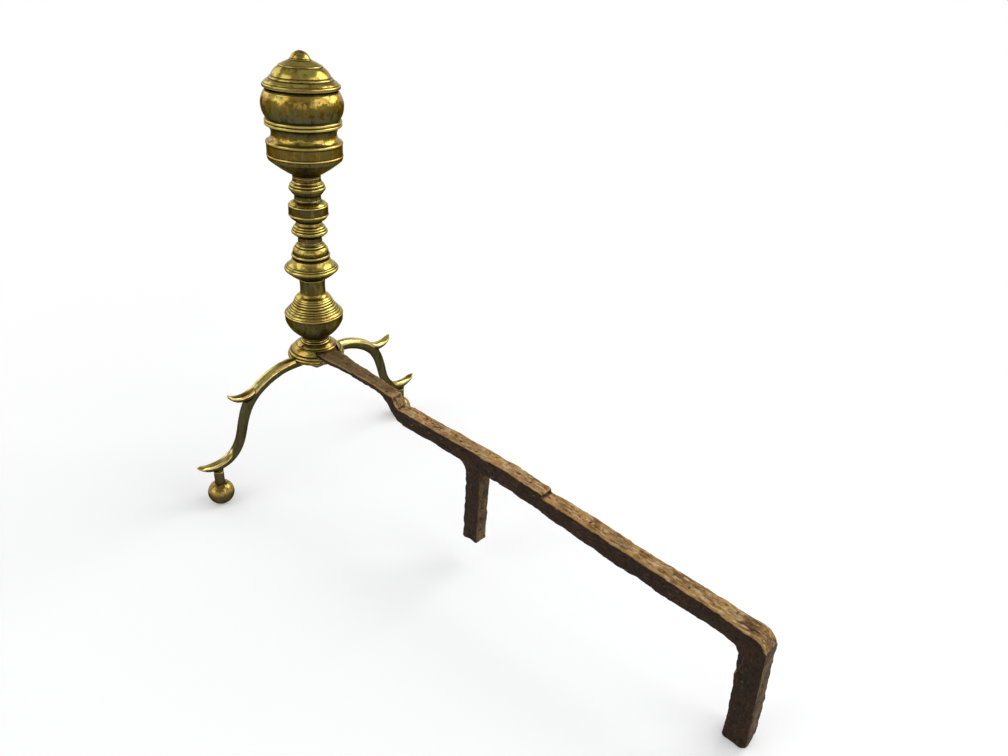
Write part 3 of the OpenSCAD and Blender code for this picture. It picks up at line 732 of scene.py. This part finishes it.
@dataclass(frozen=True)
class WroughtIron:
    """Wrought iron, forged under the hammer, rusted and scaled by years of fires.

    The eye sees a tan top with pale grain, specks of dark scale and brown rust, and near-black
    sides. The lighter top is partly rubbed iron and partly painted light, its pale grain partly
    painted glints, and the dark sides partly scale and partly painted shade. Pits and hollows are
    darkened near black.
    """

    name: str = "wrought iron, forged and rusted"
    # Tops: rubbed tan, rust and the rest, partly painted light. The flank colours: the sides' near
    # black, partly scale and partly painted shade.
    rubbed: str = "#B48D57"
    # Pale grain on the tops, partly painted glints.
    pale: str = "#D2B88E"
    rust: str = "#7D592B"
    orange: str = "#B0793F"
    sooty: str = "#5C4A2D"
    scale: str = "#2B2016"
    flank: str = "#3C281A"
    flank_light: str = "#59432F"
    # Painted light: the lighter brown of faces turned towards +Y.
    back_light: str = "#77603F"
    # Near black, in the pits and in the hollows of the relief.
    pit: str = "#140F0A"
    patch_mm: float = 28.0
    heat_mm: Triple = (30.0, 38.0, 30.0)
    scab_mm: Triple = (5.0, 15.0, 5.0)
    streak_mm: Triple = (2.6, 11.0, 2.6)
    grit_mm: float = 2.0
    crater_mm: float = 3.4
    scab_depth_mm: float = 1.0
    streak_depth_mm: float = 0.35
    crater_depth_mm: float = 0.4
    grit_depth_mm: float = 0.4
    ragged: float = 0.36
    shine: float = 0.12
    wear_and_shade: IronWearAndShade = IronWearAndShade()

    def build(self) -> Material:
        """Makes the material.

        Returns:
            The iron, as one Principled shader over masks for rubbed places, scale, rust, pits, and
            painted light and shade.
        """
        material, m = blank_material(self.name)
        wear_and_shade = self.wear_and_shade
        facing, relief = m.facing(), m.relief()
        patches = m.noise(self.patch_mm, detail=5, rough=0.6)
        scabs = self._grain(m, self.scab_mm, rough=0.68)
        streaks = self._grain(m, self.streak_mm, rough=0.6)
        grit = m.noise(self.grit_mm, detail=5, rough=0.7)
        heats = m.noise(self.heat_mm, rough=0.6)
        craters = m.noise(self.crater_mm, detail=3, rough=0.6)

        # The tops' colours: rust with rubbed patches, heat tints, pale grain, soot and scale, partly
        # painted light.
        worn_and_lit_top = m.layered(
            self.rust,
            (patches, wear_and_shade.rubbed, self.rubbed),
            (heats, wear_and_shade.orange, self.orange),
            (heats, wear_and_shade.brown, self.flank_light),
            # Pale grain, partly painted glints.
            (streaks, wear_and_shade.pale, self.pale),
            (m.along("Y"), wear_and_shade.sooty, self.sooty),
            (streaks, wear_and_shade.scale, self.scale),
            (grit, wear_and_shade.top_grit, self.scale),
        )
        # The sides' near-black colours: scale with painted shade.
        flank = m.layered(
            self.scale, (patches, wear_and_shade.flank, self.flank), (streaks, wear_and_shade.flank_light, self.flank_light)
        )
        # Painted light: faces turned towards +Y take the lighter brown in patches.
        rear = m.math("MULTIPLY", m.ramp(m.facing("Y"), wear_and_shade.rear), m.ramp(patches, wear_and_shade.rear_patches))
        flank = m.layered(m.mix(rear, flank, self.back_light), (grit, wear_and_shade.flank_grit, self.pit))
        # Lighter tops and dark sides by which way the surface faces: partly rubbed iron and scale,
        # partly painted light and shade.
        top = m.ramp(m.ragged(facing, scabs, self.ragged), wear_and_shade.top)
        edge = m.math("MULTIPLY", m.ramp(relief, wear_and_shade.edge), m.ramp(facing, wear_and_shade.edge_up))
        # Hollows of the relief and pits are darkened near black.
        hollow = m.math("MAXIMUM", m.ramp(relief, wear_and_shade.hollow), m.ramp(craters, wear_and_shade.pits))
        colour = m.mix(edge, m.mix(top, flank, worn_and_lit_top), self.rubbed)
        colour = m.mix(hollow, colour, self.pit)

        normal = m.bump(scabs, self.scab_depth_mm)
        normal = m.bump(streaks, self.streak_depth_mm, normal)
        normal = m.bump(m.ramp(craters, wear_and_shade.crater_depth), self.crater_depth_mm, normal)
        normal = m.bump(grit, self.grit_depth_mm, normal)
        roughness = m.ramp(grit, wear_and_shade.roughness)
        m.shade(Base_Color=colour, Roughness=roughness, Normal=normal, Specular_IOR_Level=self.shine)
        return material

    def _grain(self, m: Masks, bar_mm: Triple, rough: float) -> Socket:
        """Noise drawn out along the bar, and down along the legs below it.

        Args:
            m: The masks of the tree.
            bar_mm: Size of the features on the bar. On the legs, the last two change places.
            rough: Strength of the finer noise.

        Returns:
            The noise's value, from 0 to 1.
        """
        x, y, z = bar_mm
        bar, leg = (m.noise(size, detail=6, rough=rough) for size in ((x, y, z), (x, z, y)))
        return m.between(m.ramp(m.along("Z"), self.wear_and_shade.legs_below), bar, leg)


# ------------------------ the brass post


@dataclass
class TurnedPiece:
    """A piece turned about an upright axis, spun again from its solid's outline."""

    node: str
    axis: Vector
    sides: int = 192
    step: float = 0.2 * MM
    rounding: float = 0.2 * MM
    unevenness: float = 0.1 * MM
    ripple: float = 13 * MM
    relief_width: float = 0.7 * MM
    relief_depth: float = 0.2 * MM
    flatness: float = 0.004 * MM
    relief_step: float = 0.06
    longest_gap: int = 12

    @property
    def spacing(self) -> float:
        """Distance between the rows of an evened outline."""
        return self.step / 2

    def spin(self, solid: Object, name: str) -> Object:
        """Spins the solid's outline into a smooth piece.

        Args:
            solid: The CAD node.
            name: The piece's name.

        Returns:
            The piece, in the scene.
        """
        rows = self._evened(self._outline(face_tree(solid)))
        relief = self._relief(rows)
        kept = self._kept(rows, relief)
        rows, relief = rows[kept], relief[kept]
        turn = np.linspace(0, 2 * math.pi, self.sides, endpoint=False)
        points = []
        for radius, z in rows:
            for angle in turn:
                x, y = math.cos(angle), math.sin(angle)
                spot = Vector((x * radius, y * radius, z))
                out = max(radius + (noise.noise(spot / self.ripple) - 1) * self.unevenness, 0.0)
                points.append((self.axis.x + x * out, self.axis.y + y * out, z))
        mesh = new_mesh(name, points, tube_faces(len(rows), self.sides))
        mesh.update()
        write_relief(mesh, np.repeat(relief, self.sides))
        return new_piece(name, mesh)

    def _relief(self, rows: np.ndarray) -> np.ndarray:
        """Measures how deep each row of an outline lies.

        Args:
            rows: The even outline.

        Returns:
            The depths, in units of the relief's depth.
        """
        soft = smooth_rows(rows, self.relief_width / self.spacing)
        along = np.gradient(rows, axis=0)
        outward = np.stack([along[:, 1], -along[:, 0]], axis=1) / np.hypot(*along.T)[:, None]
        return np.sum((soft - rows) * outward, axis=1) / self.relief_depth

    def _kept(self, rows: np.ndarray, relief: np.ndarray) -> np.ndarray:
        """Chooses the rows that carry the outline and its relief.

        Args:
            rows: The even outline.
            relief: Its relief.

        Returns:
            The numbers of the rows.
        """
        length = np.arange(len(rows)) * self.spacing
        by_shape = thin_out(rows, self.flatness)
        by_relief = thin_out(np.stack([length, relief * MM], axis=1), self.relief_step * MM)
        by_gap = np.arange(0, len(rows), self.longest_gap)
        return np.unique(np.concatenate([by_shape, by_relief, by_gap]))

    def _outline(self, tree: BVHTree) -> np.ndarray:
        """Reads the outline up the front of the solid.

        Args:
            tree: The solid's faces.

        Returns:
            Rows of radius and height, from the bottom up.
        """
        low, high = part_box(self.node)
        outside = self.axis.y - (high.y - low.y)
        rows = []
        for z in np.arange(low.z + self.step / 4, high.z, self.step):
            hit = tree.ray_cast(Vector((self.axis.x, outside, z)), Vector((0, 1, 0)))[0]
            if hit is not None and hit.y < self.axis.y:
                rows.append((self.axis.y - hit.y, z))
        rows[0], rows[-1] = (rows[0][0], low.z), (rows[-1][0], high.z)
        return np.array(rows)

    def _evened(self, rows: np.ndarray) -> np.ndarray:
        """Spaces an outline evenly and rounds its corners.

        Args:
            rows: The outline as it was read.

        Returns:
            The even outline.
        """
        length = np.concatenate([[0], np.cumsum(np.hypot(*np.diff(rows, axis=0).T))])
        even = np.arange(0, length[-1], self.spacing)
        rows = np.stack([np.interp(even, length, rows[:, c]) for c in (0, 1)], axis=1)
        return smooth_rows(rows, self.rounding / self.spacing)


@dataclass
class NotchedPlinth(TurnedPiece):
    """The plinth: a hollow turned shell, notched over each leg and cut away for the bar."""

    slot_width: float = 35 * MM
    slot_height: float = 15 * MM
    notch_radius: float = 8.1 * MM
    notch_drop: float = 2 * MM
    notch_span: tuple[float, float] = (0.1, 1.0)
    notch_sides: int = 48
    splay_deg: float = 1.7
    crease_deg: float = 48.0

    def spin(self, solid: Object, name: str) -> Object:
        """Spins the shell and cuts its openings.

        Args:
            solid: The CAD node.
            name: The piece's name.

        Returns:
            The piece, in the scene.
        """
        shell = super().spin(solid, name)
        cutters = [self._slot_block(), self._notch_rod(-1), self._notch_rod(1)]
        for cutter in cutters:
            cut = shell.modifiers.new(cutter.name, "BOOLEAN")
            cut.operation = "DIFFERENCE"
            cut.solver = "EXACT"
            cut.object = cutter
        mesh = applied(shell, name)
        for cutter in cutters:
            bpy.data.objects.remove(cutter)
        piece = new_piece(name, mesh)
        mesh.set_sharp_from_angle(angle=math.radians(self.crease_deg))
        return piece

    def _outline(self, tree: BVHTree) -> np.ndarray:
        """Reads the shell's outline.

        Args:
            tree: The solid's faces.

        Returns:
            Rows of radius and height, out from the bore along the hollow, then up the outside.
        """
        outer = super()._outline(tree)
        rim, bore = outer[0, 0], outer[-1, 0]
        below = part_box(self.node)[0].z - MM
        rows = []
        for radius in np.arange(bore, rim, self.step):
            start = Vector((self.axis.x, self.axis.y - radius, below))
            hit = tree.ray_cast(start, Vector((0, 0, 1)))[0]
            if hit is not None:
                rows.append((radius, hit.z))
        return np.concatenate([np.array(rows), outer])

    def _slot_block(self) -> Object:
        """Makes the cutter of the bar's slot.

        Returns:
            A block behind the axis, as wide and as high as the slot.
        """
        low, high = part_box(self.node)
        half, back = self.slot_width / 2, high.y + MM
        corners = [
            (self.axis.x + x, y, z)
            for z in (low.z - MM, low.z + self.slot_height)
            for x, y in ((-half, self.axis.y), (half, self.axis.y), (half, back), (-half, back))
        ]
        sides = [(0, 3, 2, 1), (4, 5, 6, 7), (0, 1, 5, 4), (1, 2, 6, 5), (2, 3, 7, 6), (3, 0, 4, 7)]
        return placed("slot", new_mesh("slot", corners, sides))

    def _notch_rod(self, side: int) -> Object:
        """Makes the cutter of one leg's notch.

        Args:
            side: 1 for the leg towards +X, -1 for the other.

        Returns:
            A round rod along the leg.
        """
        low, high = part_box(self.node)
        heading = math.radians(-side * self.splay_deg)
        along = Vector((math.cos(heading), math.sin(heading), 0)) * side
        across = Vector((-along.y, along.x, 0))
        middle = Vector((self.axis.x, self.axis.y, low.z - self.notch_drop))
        reach, count = high.x - low.x, self.notch_sides
        points = []
        for share in self.notch_span:
            for angle in (2 * math.pi * k / count for k in range(count)):
                out = across * math.cos(angle) + Vector((0, 0, math.sin(angle)))
                points.append(middle + along * reach * share + out * self.notch_radius)
        mesh = new_mesh("notch", points, tube_faces(len(self.notch_span), count))
        return placed(f"notch{side}", mesh)


@dataclass
class BrassPost:
    """The turned post, from the plinth to the button."""

    nodes: dict[str, Object]
    turned: tuple[str, ...] = (
        "vase_bowl",
        "bell_flare",
        "lower_collar",
        "knop_drum",
        "upper_collar",
        "finial_cup",
        "finial_ball",
        "finial_cap",
    )
    mottled: tuple[str, ...] = ("finial_cup", "finial_ball")

    def axis(self) -> Vector:
        """The post's upright axis, through the middle of its bowl."""
        low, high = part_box("vase_bowl")
        return (low + high) / 2

    def build(self, most: CastBrass, mottled: CastBrass, plinth: CastBrass) -> list[Object]:
        """Makes and dresses the post's pieces.

        Args:
            most: The brass of most of the post.
            mottled: The brass of the finial's mottled pieces.
            plinth: The brass of the plinth.

        Returns:
            The pieces.
        """
        brass, mottled_brass = most.build(), mottled.build()
        pieces = []
        for name in self.turned:
            piece = TurnedPiece(name, self.axis()).spin(self.nodes[name], name + "_brass")
            metal = mottled_brass if name in self.mottled else brass
            pieces.append(dress(piece, metal, Slot.POST_BRASS, name))
        shell = NotchedPlinth("plinth", self.axis()).spin(self.nodes["plinth"], "plinth_brass")
        pieces.append(dress(shell, plinth.build(), Slot.POST_BRASS, "plinth"))
        return pieces


@dataclass
class CabrioleLegs:
    """The two cast legs with their spurs, and the ball feet."""

    nodes: dict[str, Object]
    voxel: float = 0.6 * MM
    soft_passes: int = 7
    relief_passes: int = 16
    relief_depth: float = 0.3 * MM
    foot_sides: int = 96

    def build(self, leg_finish: CastBrass, foot_finish: CastBrass) -> list[Object]:
        """Makes and dresses the legs and the feet.

        Args:
            leg_finish: The brass of the legs.
            foot_finish: The brass of the feet.

        Returns:
            The pieces.
        """
        leg_brass, foot_brass = leg_finish.build(), foot_finish.build()
        pieces = []
        for side in ("right", "left"):
            leg, foot = f"leg_{side}", f"foot_{side}"
            mesh = skinned(self.nodes[leg], leg + "_brass", self.voxel, self.soft_passes)
            mark_relief(mesh, self.relief_passes, self.relief_depth)
            pieces.append(dress(new_piece(leg + "_brass", mesh), leg_brass, Slot.LEG_BRASS, leg))
            low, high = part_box(foot)
            turned = TurnedPiece(foot, (low + high) / 2, sides=self.foot_sides)
            piece = turned.spin(self.nodes[foot], foot + "_brass")
            pieces.append(dress(piece, foot_brass, Slot.FOOT_BRASS, foot))
        return pieces


# ------------------------ the iron


@dataclass
class BilletIron:
    """The forged bar and its legs: one hammered skin over the welded lengths, split at the welds."""

    nodes: dict[str, Object]
    members: tuple[str, ...] = ("bar_front", "bar_rear", "mid_leg")
    voxel: float = 0.9 * MM
    soft_passes: int = 14
    blow: float = 1.3 * MM
    blow_size: Vector = field(default_factory=lambda: Vector((12, 24, 12)) * MM)
    dent: float = 0.5 * MM
    dent_size: float = 5.5 * MM
    pit: float = 0.5 * MM
    pit_size: float = 3.2 * MM
    pit_from: float = 0.25
    pit_shift: Triple = (7, 3, 1)
    sunk: float = 0.05 * MM
    relief_passes: int = 12
    relief_depth: float = 0.5 * MM

    def build(self, finish: WroughtIron) -> list[Object]:
        """Makes and dresses the iron.

        Args:
            finish: The iron's finish.

        Returns:
            The pieces, one for each forged length.
        """
        iron = finish.build()
        skin = self._skin()
        self._hammer(skin)
        mark_relief(skin, self.relief_passes, self.relief_depth)
        normals = [tuple(v.vector) for v in skin.vertex_normals]
        owner = self._owners(skin)
        pieces = []
        for number, name in enumerate(self.members):
            mesh = self._part(skin, owner == number, normals, name + "_iron")
            pieces.append(dress(placed(mesh.name, mesh), iron, Slot.WROUGHT_IRON, name))
        bpy.data.meshes.remove(skin)
        return pieces

    def _skin(self) -> Mesh:
        """Joins the welded lengths.

        Returns:
            One even skin over them all.
        """
        first, *others = self.members
        whole = placed("billet", self.nodes[first].data.copy())
        for name in others:
            join = whole.modifiers.new(name, "BOOLEAN")
            join.operation = "UNION"
            join.solver = "EXACT"
            join.object = self.nodes[name]
        united = placed("billet", applied(whole, "billet"))
        mesh = skinned(united, "billet_skin", self.voxel, self.soft_passes)
        bpy.data.objects.remove(united)
        return mesh

    def _hammer(self, mesh: Mesh) -> None:
        """Gives the skin its hammer blows, dents and pits, inside the solids' box.

        Args:
            mesh: The skin.
        """
        corners = [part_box(name) for name in self.members]
        low = Vector([min(c[0][i] for c in corners) for i in range(3)])
        high = Vector([max(c[1][i] for c in corners) for i in range(3)])
        moved = []
        for vertex, normal in zip(mesh.vertices, mesh.vertex_normals):
            spot = vertex.co
            long_wave = Vector([spot[i] / self.blow_size[i] for i in range(3)])
            depth = self.blow * noise.noise(long_wave)
            depth += self.dent * noise.noise(spot / self.dent_size)
            pitted = noise.noise(spot / self.pit_size + Vector(self.pit_shift)) - self.pit_from
            depth -= self.pit * max(0.0, pitted)
            place = spot + normal.vector * (depth - self.sunk)
            moved += [min(max(place[i], low[i]), high[i]) for i in range(3)]
        mesh.vertices.foreach_set("co", moved)
        mesh.update()

    def _owners(self, mesh: Mesh) -> np.ndarray:
        """Finds which length each face belongs to.

        Args:
            mesh: The skin.

        Returns:
            For each face, the number of the nearest member.
        """
        trees = [face_tree(self.nodes[name]) for name in self.members]
        owner = []
        for face in mesh.polygons:
            distances = [tree.find_nearest(face.center)[3] for tree in trees]
            owner.append(int(np.argmin(distances)))
        return np.array(owner)

    @staticmethod
    def _part(skin: Mesh, chosen: np.ndarray, normals: list[tuple[float, ...]], name: str) -> Mesh:
        """Copies the chosen faces into a mesh of their own, with the whole skin's shading.

        Args:
            skin: The whole skin.
            chosen: For each face, whether it goes along.
            normals: The whole skin's normals, by point.
            name: The new mesh's name.

        Returns:
            The new mesh.
        """
        faces = [tuple(f.vertices) for f, take in zip(skin.polygons, chosen) if take]
        used = sorted({v for face in faces for v in face})
        number = {old: new for new, old in enumerate(used)}
        points = [tuple(skin.vertices[v].co) for v in used]
        relief = skin.attributes[RELIEF].data
        mesh = new_mesh(name, points, [tuple(number[v] for v in face) for face in faces])
        mesh.shade_smooth()
        write_relief(mesh, np.array([relief[v].value for v in used]))
        mesh.normals_split_custom_set_from_vertices([normals[v] for v in used])
        return mesh


@dataclass
class Fastenings:
    """The rod, washer, nut and studs, which keep their solids' shapes."""

    nodes: dict[str, Object]
    members: tuple[str, ...] = ("tie_rod", "rod_washer", "rod_nut", "foot_studs")

    def build(self, finish: WroughtIron) -> list[Object]:
        """Dresses the fastenings.

        Args:
            finish: Their iron.

        Returns:
            The CAD nodes, dressed.
        """
        iron = finish.build()
        for name in self.members:
            piece = self.nodes[name]
            piece.data.materials.clear()
            piece.data.materials.append(iron)
            LOG.info("%s: dressed as it is", name)
        return [self.nodes[name] for name in self.members]


# ------------------------ the studio


@dataclass(frozen=True)
class SoftLamp:
    """One large soft lamp that looks at the andiron, in metres and watts."""

    name: str
    place: Triple
    size: tuple[float, float]
    power: float
    tint: str = WHITE


@dataclass
class Studio:
    """White floor and backdrop, soft lamps and the camera at the photograph's viewing angle.

    The floor's whitening goes by the distance from the andiron, and the backdrop's brightness by
    the height of the direction in which it is seen, which is 1 straight up.
    """

    camera_mm: Triple = (525.8, 429.3, 631.1)
    heading_deg: float = -128.31
    pitch_deg: float = -29.15
    roll_deg: float = 4.77
    focal_px: float = 750.6
    frame_width_px: int = 1008
    sensor_mm: float = 36.0
    floor_radius: float = 30.0
    floor_sides: int = 96
    paper: str = "#FAFAFA"
    paper_lift: float = 0.125
    whitening: Ramp = Ramp(0.5, 1.2, 0.1, 1.0)
    backdrop: Ramp = Ramp(0.2, 0.6, 1.0, 0.32)
    room_light: float = 0.52
    aim: Triple = (0.0, -0.12, 0.2)
    lamps: tuple[SoftLamp, ...] = (
        SoftLamp("lamp_left", (2.3, -0.9, 1.5), (1.7, 2.3), 15.5, "#FAFCFF"),
        SoftLamp("lamp_right", (-0.9, 2.4, 1.6), (1.8, 2.4), 20, "#FAFCFF"),
        SoftLamp("lamp_back", (-2.2, 0.6, 1.9), (1.9, 1.9), 36),
        SoftLamp("lamp_front", (0.4, -2.6, 1.5), (1.6, 1.4), 6),
    )

    def build(self) -> None:
        """Makes the floor, the light and the camera."""
        bpy.context.scene.view_settings.view_transform = "Standard"
        self._floor()
        self._room()
        for lamp in self.lamps:
            self._lamp(lamp)
        self._camera()

    def _camera(self) -> None:
        """Places the camera from its measured position and angles."""
        degrees = (self.heading_deg, self.pitch_deg, self.roll_deg)
        heading, pitch, roll = map(math.radians, degrees)
        data = bpy.data.cameras.new("camera")
        data.sensor_fit = "HORIZONTAL"
        data.sensor_width = self.sensor_mm
        data.lens = self.focal_px / self.frame_width_px * self.sensor_mm
        camera = placed("camera", data)
        turn = Matrix.Rotation(-heading, 4, "Z") @ Matrix.Rotation(math.pi / 2 + pitch, 4, "X")
        turn = turn @ Matrix.Rotation(roll, 4, "Z")
        camera.matrix_world = Matrix.Translation(Vector(self.camera_mm) * MM) @ turn
        bpy.context.scene.camera = camera

    def _lamp(self, lamp: SoftLamp) -> None:
        """Hangs a lamp and turns it to the andiron.

        Args:
            lamp: The lamp.
        """
        data = bpy.data.lights.new(lamp.name, "AREA")
        data.shape = "RECTANGLE"
        data.size, data.size_y = lamp.size
        data.energy = lamp.power
        data.color = linear(lamp.tint)[:3]
        made = placed(lamp.name, data)
        made.location = lamp.place
        toward = Vector(self.aim) - Vector(lamp.place)
        made.rotation_euler = toward.to_track_quat("-Z", "Y").to_euler()

    @staticmethod
    def _seen(m: Masks) -> Socket:
        """Tells the rays that show a surface from those that light others.

        Args:
            m: The masks of the tree.

        Returns:
            1 for rays from the camera, a reflection or glass, and 0 for others.
        """
        rays = add_node(m.tree, "LightPath").outputs
        mirrored = m.math("MAXIMUM", rays["Is Glossy Ray"], rays["Is Transmission Ray"])
        return m.math("MAXIMUM", rays["Is Camera Ray"], mirrored)

    def _floor(self) -> None:
        """Lays a round floor."""
        ring = [
            (math.cos(angle) * self.floor_radius, math.sin(angle) * self.floor_radius, 0.0)
            for angle in np.linspace(0, 2 * math.pi, self.floor_sides, endpoint=False)
        ]
        mesh = new_mesh("floor", ring, [tuple(range(self.floor_sides))])
        mesh.materials.append(self._paper())
        placed("floor", mesh)

    def _paper(self) -> Material:
        """Makes the floor's material.

        Returns:
            Paper that shows white but keeps a faint shadow of the andiron.
        """
        material, m = blank_material("pale paper floor")
        seen = self._seen(m)
        lift = m.math("MULTIPLY", seen, self.paper_lift)
        share = m.math("MULTIPLY", seen, m.ramp(m.distance((0.0, 0.0, 0.0)), self.whitening))
        paper = m.output("BsdfDiffuse", 0, {"Color": linear(self.paper)})
        glow = m.output("Emission", 0, {"Strength": lift})
        lifted = m.output("AddShader", 0, {0: paper, 1: glow})
        white = m.output("Emission", 0, {"Color": linear(WHITE), "Strength": 1.0})
        both = m.output("MixShader", 0, {0: share, 1: lifted, 2: white})
        add_node(m.tree, "OutputMaterial", {"Surface": both})
        return material

    def _room(self) -> None:
        """Lights the room evenly, behind a white backdrop that is seen below a dimmer ceiling."""
        world = bpy.data.worlds.new("room")
        bpy.context.scene.world = world
        world.use_nodes = True
        world.node_tree.nodes.clear()
        m = Masks(world.node_tree)
        toward = m.output("TexCoord", "Generated")
        height = m.output("SeparateXYZ", "Z", {0: toward})
        strength = m.between(self._seen(m), self.room_light, m.ramp(height, self.backdrop))
        background = m.output("Background", 0, {"Color": linear(WHITE), "Strength": strength})
        add_node(m.tree, "OutputWorld", {"Surface": background})


def main() -> None:
    """Builds the andiron's looks piece by piece, and its studio."""
    logging.basicConfig(level=logging.INFO, format="%(name)s: %(message)s")
    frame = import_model()
    nodes = frame["nodes"]
    Studio().build()
    # Each brass below paints shade on its walls and undersides, dirt and shade in its grooves, and
    # highlights on its arrises and streaks.
    BrassPost(nodes).build(
        CastBrass("cast brass, turned and polished"),
        CastBrass(
            "cast brass, turned and mottled",
            polished="#CBB34E",
            amber="#B07F20",
            shaded_wall="#5F4E20",
            mottle_mm=(10.0, 10.0, 8.0),
            mottle=0.8,
            ragged=0.26,
        ),
        CastBrass(
            "cast brass, turned and pitted",
            polished="#B8A54C",
            mottle_mm=(12.0, 12.0, 4.0),
            mottle=0.8,
            flaws=((0.0219, -0.2996, 0.1806),),
        ),
    )
    CabrioleLegs(nodes).build(
        CastBrass(
            "cast brass, filed and polished",
            polished="#DCCA68",
            amber="#9C6C1C",
            shaded_wall="#45422D",
            wall_light="#565135",
            olive="#48452C",
            mottle_mm=(36.0, 6.0, 9.0),
            mottle=0.55,
            warmth=0.9,
            ragged=0.06,
            rubbed=Ramp(0.18, 0.4),
            # Painted highlight streaks at two facings.
            highlight_streak="#EEDD92",
            streaks=(0.38, 0.74),
            # Painted shade over the band of the shins' heights.
            shaded_band=(Ramp(0.056, 0.076), Ramp(0.134, 0.13)),
            tool=Tool.FILE,
        ),
        CastBrass(
            "turned brass, mottled",
            polished="#A08A3A",
            brown="#4A3210",
            shaded_wall="#504A33",
            wall_light="#5E5840",
            mottle_mm=(5.0, 5.0, 4.0),
            mottle=0.65,
        ),
    )
    BilletIron(nodes).build(WroughtIron())
    Fastenings(nodes).build(
        WroughtIron("wrought iron, black", rubbed="#4A3D31", pale="#5E5142", rust="#4A3526")
    )


if __name__ == "__main__":
    main()
